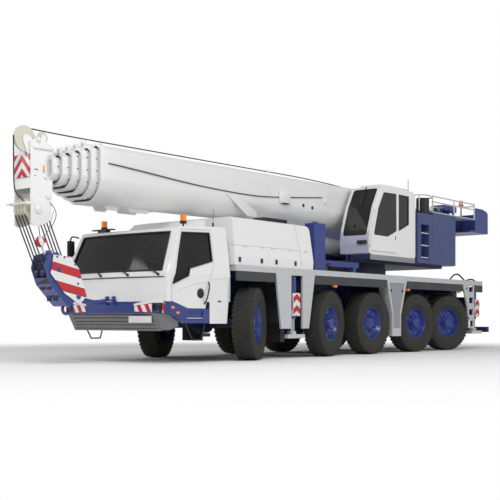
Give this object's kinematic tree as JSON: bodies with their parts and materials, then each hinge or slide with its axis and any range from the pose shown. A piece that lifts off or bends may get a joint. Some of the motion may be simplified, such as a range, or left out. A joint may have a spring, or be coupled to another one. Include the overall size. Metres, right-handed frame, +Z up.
{
  "type": "five-axle mobile crane",
  "caption": "All-terrain mobile crane with carrier cab, slewing superstructure, crane cab, ballast, outriggers and a telescopic boom lying forward with its hook block tied back.",
  "frame": {"origin": "on the ground under the middle of the overall length and width", "axes": "+Z up, -Y is the front of the carrier, +X is the machine's left side"},
  "size_m": [3.2078, 14.5101, 3.9],
  "materials": {
    "white_paint": "gloss white paint",
    "blue_paint": "gloss blue paint",
    "frame_paint": "dark blue chassis paint",
    "deck_plate": "chequer plate",
    "axle_steel": "painted castings",
    "glass": "dark tinted glass",
    "interior": "dark trim",
    "tyre": "rubber",
    "jack_steel": "blue paint",
    "rail_grey": "grey paint",
    "sheave": "cream plastic and paint",
    "cylinder_grey": "grey paint",
    "chrome": "hard chrome"
  },
  "bodies": {
    "carrier": {"chassis_frame": "frame_paint", "deck": "deck_plate", "side_panels": "white_paint", "axles": "axle_steel", "carrier_cab": "white_paint", "carrier_cab_glass": "glass", "carrier_cab_interior": "interior", "front_bumper": "blue_paint", "engine_housing": "white_paint", "engine_block": "axle_steel", "deck_tanks": "blue_paint", "fittings": "rail_grey"},
    "carrier_door_left": {"carrier_door_left": "white_paint", "carrier_door_glass_left": "glass"},
    "carrier_door_right": {"carrier_door_right": "white_paint", "carrier_door_glass_right": "glass"},
    "steering_1_left": {"knuckle_1_left": "axle_steel"},
    "wheel_1_left": {"wheel_1_left": "tyre"},
    "steering_1_right": {"knuckle_1_right": "axle_steel"},
    "wheel_1_right": {"wheel_1_right": "tyre"},
    "steering_2_left": {"knuckle_2_left": "axle_steel"},
    "wheel_2_left": {"wheel_2_left": "tyre"},
    "steering_2_right": {"knuckle_2_right": "axle_steel"},
    "wheel_2_right": {"wheel_2_right": "tyre"},
    "wheel_3_left": {"wheel_3_left": "tyre"},
    "wheel_3_right": {"wheel_3_right": "tyre"},
    "steering_4_left": {"knuckle_4_left": "axle_steel"},
    "wheel_4_left": {"wheel_4_left": "tyre"},
    "steering_4_right": {"knuckle_4_right": "axle_steel"},
    "wheel_4_right": {"wheel_4_right": "tyre"},
    "steering_5_left": {"knuckle_5_left": "axle_steel"},
    "wheel_5_left": {"wheel_5_left": "tyre"},
    "steering_5_right": {"knuckle_5_right": "axle_steel"},
    "wheel_5_right": {"wheel_5_right": "tyre"},
    "beam_front_left": {"outrigger_beam_front_left": "blue_paint"},
    "jack_front_left": {"outrigger_jack_front_left": "jack_steel"},
    "beam_front_right": {"outrigger_beam_front_right": "blue_paint"},
    "jack_front_right": {"outrigger_jack_front_right": "jack_steel"},
    "beam_rear_left": {"outrigger_beam_rear_left": "blue_paint"},
    "jack_rear_left": {"outrigger_jack_rear_left": "jack_steel"},
    "beam_rear_right": {"outrigger_beam_rear_right": "blue_paint"},
    "jack_rear_right": {"outrigger_jack_rear_right": "jack_steel"},
    "superstructure": {"turntable": "frame_paint", "ballast": "blue_paint", "railings": "rail_grey", "crane_cab": "white_paint", "crane_cab_glass": "glass", "crane_cab_interior": "interior"},
    "crane_cab_door": {"crane_cab_door": "white_paint", "crane_cab_door_glass": "glass"},
    "boom_1": {"boom_section_1": "white_paint"},
    "boom_2": {"boom_section_2": "white_paint"},
    "boom_3": {"boom_section_3": "white_paint"},
    "boom_4": {"boom_section_4": "white_paint"},
    "boom_5": {"boom_section_5": "white_paint"},
    "boom_6": {"boom_section_6": "white_paint", "head_sheaves": "sheave"},
    "hook": {"hook_block": "blue_paint"},
    "luffing_barrel": {"luffing_barrel": "cylinder_grey"},
    "luffing_rod": {"luffing_rod": "chrome"}
  },
  "joints": [
    {"name": "slew", "type": "hinge", "parent": "carrier", "child": "superstructure", "pos_m": [0, 2.59508, 2], "axis": [0, 0, 1], "continuous": true},
    {"name": "luff", "type": "hinge", "parent": "superstructure", "child": "boom_1", "pos_m": [0, 4.49508, 3.18], "axis": [-1, 0, 0], "range_deg": [0, 82]},
    {"name": "telescope_2", "type": "slide", "parent": "boom_1", "child": "boom_2", "axis": [0, -0.9999, -0.0108], "range_m": [0, 8.6]},
    {"name": "telescope_3", "type": "slide", "parent": "boom_2", "child": "boom_3", "axis": [0, -0.9999, -0.0108], "range_m": [0, 8.6]},
    {"name": "telescope_4", "type": "slide", "parent": "boom_3", "child": "boom_4", "axis": [0, -0.9999, -0.0108], "range_m": [0, 8.6]},
    {"name": "telescope_5", "type": "slide", "parent": "boom_4", "child": "boom_5", "axis": [0, -0.9999, -0.0108], "range_m": [0, 8.6]},
    {"name": "telescope_6", "type": "slide", "parent": "boom_5", "child": "boom_6", "axis": [0, -0.9999, -0.0108], "range_m": [0, 8.6]},
    {"name": "luffing_barrel_turn", "type": "hinge", "parent": "superstructure", "child": "luffing_barrel", "pos_m": [0, 2.79508, 2.33], "axis": [-1, 0, 0], "range_deg": [0, 90.02]},
    {"name": "luffing_rod_slide", "type": "slide", "parent": "luffing_barrel", "child": "luffing_rod", "axis": [0, -0.9966, 0.0829], "range_m": [0, 2.43]},
    {"name": "hook_swing", "type": "hinge", "parent": "boom_6", "child": "hook", "pos_m": [0, -6.82819, 2.49743], "axis": [1, 0, 0], "range_deg": [0, 56.01]},
    {"name": "carrier_door_left_hinge", "type": "hinge", "parent": "carrier", "child": "carrier_door_left", "pos_m": [1.306, -4.91292, 1.2], "axis": [0, 0, -1], "range_deg": [0, 70]},
    {"name": "carrier_door_right_hinge", "type": "hinge", "parent": "carrier", "child": "carrier_door_right", "pos_m": [-1.306, -4.91292, 1.2], "axis": [0, 0, 1], "range_deg": [0, 70]},
    {"name": "crane_cab_door_slide", "type": "slide", "parent": "superstructure", "child": "crane_cab_door", "axis": [0, 1, 0], "range_m": [0, 0.85]},
    {"name": "steer_1_left", "type": "hinge", "parent": "carrier", "child": "steering_1_left", "pos_m": [1.095, -2.70492, 0.675], "axis": [0, 0, 1], "range_deg": [-60, 10]},
    {"name": "wheel_1_left_spin", "type": "hinge", "parent": "steering_1_left", "child": "wheel_1_left", "pos_m": [1.1675, -2.67111, 0.675], "axis": [0.9063, 0.4226, 0], "continuous": true},
    {"name": "steer_1_right", "type": "hinge", "parent": "carrier", "child": "steering_1_right", "pos_m": [-1.095, -2.70492, 0.675], "axis": [0, 0, 1], "range_deg": [-60, 10]},
    {"name": "wheel_1_right_spin", "type": "hinge", "parent": "steering_1_right", "child": "wheel_1_right", "pos_m": [-1.1675, -2.73873, 0.675], "axis": [0.9063, 0.4226, 0], "continuous": true},
    {"name": "steer_2_left", "type": "hinge", "parent": "carrier", "child": "steering_2_left", "pos_m": [1.095, -0.25492, 0.675], "axis": [0, 0, 1], "range_deg": [-26.41, 4.41]},
    {"name": "wheel_2_left_spin", "type": "hinge", "parent": "steering_2_left", "child": "wheel_2_left", "pos_m": [1.17353, -0.23965, 0.675], "axis": [0.9816, 0.1908, 0], "continuous": true},
    {"name": "steer_2_right", "type": "hinge", "parent": "carrier", "child": "steering_2_right", "pos_m": [-1.095, -0.25492, 0.675], "axis": [0, 0, 1], "range_deg": [-26.41, 4.41]},
    {"name": "wheel_2_right_spin", "type": "hinge", "parent": "steering_2_right", "child": "wheel_2_right", "pos_m": [-1.17353, -0.27018, 0.675], "axis": [0.9816, 0.1908, 0], "continuous": true},
    {"name": "wheel_3_left_spin", "type": "hinge", "parent": "carrier", "child": "wheel_3_left", "pos_m": [1.175, 1.39508, 0.675], "axis": [1, 0, 0], "continuous": true},
    {"name": "wheel_3_right_spin", "type": "hinge", "parent": "carrier", "child": "wheel_3_right", "pos_m": [-1.175, 1.39508, 0.675], "axis": [1, 0, 0], "continuous": true},
    {"name": "steer_4_left", "type": "hinge", "parent": "carrier", "child": "steering_4_left", "pos_m": [1.095, 3.34508, 0.675], "axis": [0, 0, 1], "range_deg": [-3.61, 21.61]},
    {"name": "wheel_4_left_spin", "type": "hinge", "parent": "steering_4_left", "child": "wheel_4_left", "pos_m": [1.17402, 3.33257, 0.675], "axis": [0.9877, -0.1564, 0], "continuous": true},
    {"name": "steer_4_right", "type": "hinge", "parent": "carrier", "child": "steering_4_right", "pos_m": [-1.095, 3.34508, 0.675], "axis": [0, 0, 1], "range_deg": [-3.61, 21.61]},
    {"name": "wheel_4_right_spin", "type": "hinge", "parent": "steering_4_right", "child": "wheel_4_right", "pos_m": [-1.17402, 3.3576, 0.675], "axis": [0.9877, -0.1564, 0], "continuous": true},
    {"name": "steer_5_left", "type": "hinge", "parent": "carrier", "child": "steering_5_left", "pos_m": [1.095, 4.99508, 0.675], "axis": [0, 0, 1], "range_deg": [-7.21, 43.21]},
    {"name": "wheel_5_left_spin", "type": "hinge", "parent": "steering_5_left", "child": "wheel_5_left", "pos_m": [1.17108, 4.97036, 0.675], "axis": [0.9511, -0.309, 0], "continuous": true},
    {"name": "steer_5_right", "type": "hinge", "parent": "carrier", "child": "steering_5_right", "pos_m": [-1.095, 4.99508, 0.675], "axis": [0, 0, 1], "range_deg": [-7.21, 43.21]},
    {"name": "wheel_5_right_spin", "type": "hinge", "parent": "steering_5_right", "child": "wheel_5_right", "pos_m": [-1.17108, 5.01981, 0.675], "axis": [0.9511, -0.309, 0], "continuous": true},
    {"name": "beam_front_left_slide", "type": "slide", "parent": "carrier", "child": "beam_front_left", "axis": [1, 0, 0], "range_m": [0, 1.75]},
    {"name": "jack_front_left_slide", "type": "slide", "parent": "beam_front_left", "child": "jack_front_left", "axis": [0, 0, -1], "range_m": [0, 0.6]},
    {"name": "beam_front_right_slide", "type": "slide", "parent": "carrier", "child": "beam_front_right", "axis": [-1, 0, 0], "range_m": [0, 1.75]},
    {"name": "jack_front_right_slide", "type": "slide", "parent": "beam_front_right", "child": "jack_front_right", "axis": [0, 0, -1], "range_m": [0, 0.6]},
    {"name": "beam_rear_left_slide", "type": "slide", "parent": "carrier", "child": "beam_rear_left", "axis": [1, 0, 0], "range_m": [0, 1.75]},
    {"name": "jack_rear_left_slide", "type": "slide", "parent": "beam_rear_left", "child": "jack_rear_left", "axis": [0, 0, -1], "range_m": [0, 0.6]},
    {"name": "beam_rear_right_slide", "type": "slide", "parent": "carrier", "child": "beam_rear_right", "axis": [-1, 0, 0], "range_m": [0, 1.75]},
    {"name": "jack_rear_right_slide", "type": "slide", "parent": "beam_rear_right", "child": "jack_rear_right", "axis": [0, 0, -1], "range_m": [0, 0.6]}
  ],
  "couplings": [
    {"joint": "telescope_3", "follows": "telescope_2", "ratio": 1},
    {"joint": "telescope_4", "follows": "telescope_2", "ratio": 1},
    {"joint": "telescope_5", "follows": "telescope_2", "ratio": 1},
    {"joint": "telescope_6", "follows": "telescope_2", "ratio": 1},
    {"joint": "luffing_barrel_turn", "follows": "luff", "ratio": 1.0977},
    {"joint": "luffing_rod_slide", "follows": "luff", "m_per_rad": 1.6973},
    {"joint": "hook_swing", "follows": "luff", "ratio": 0.68293},
    {"joint": "steer_1_right", "follows": "steer_1_left", "ratio": 1},
    {"joint": "steer_2_left", "follows": "steer_1_left", "ratio": 0.44},
    {"joint": "steer_2_right", "follows": "steer_1_left", "ratio": 0.44},
    {"joint": "steer_4_left", "follows": "steer_1_left", "ratio": -0.36},
    {"joint": "steer_4_right", "follows": "steer_1_left", "ratio": -0.36},
    {"joint": "steer_5_left", "follows": "steer_1_left", "ratio": -0.72},
    {"joint": "steer_5_right", "follows": "steer_1_left", "ratio": -0.72}
  ]
}
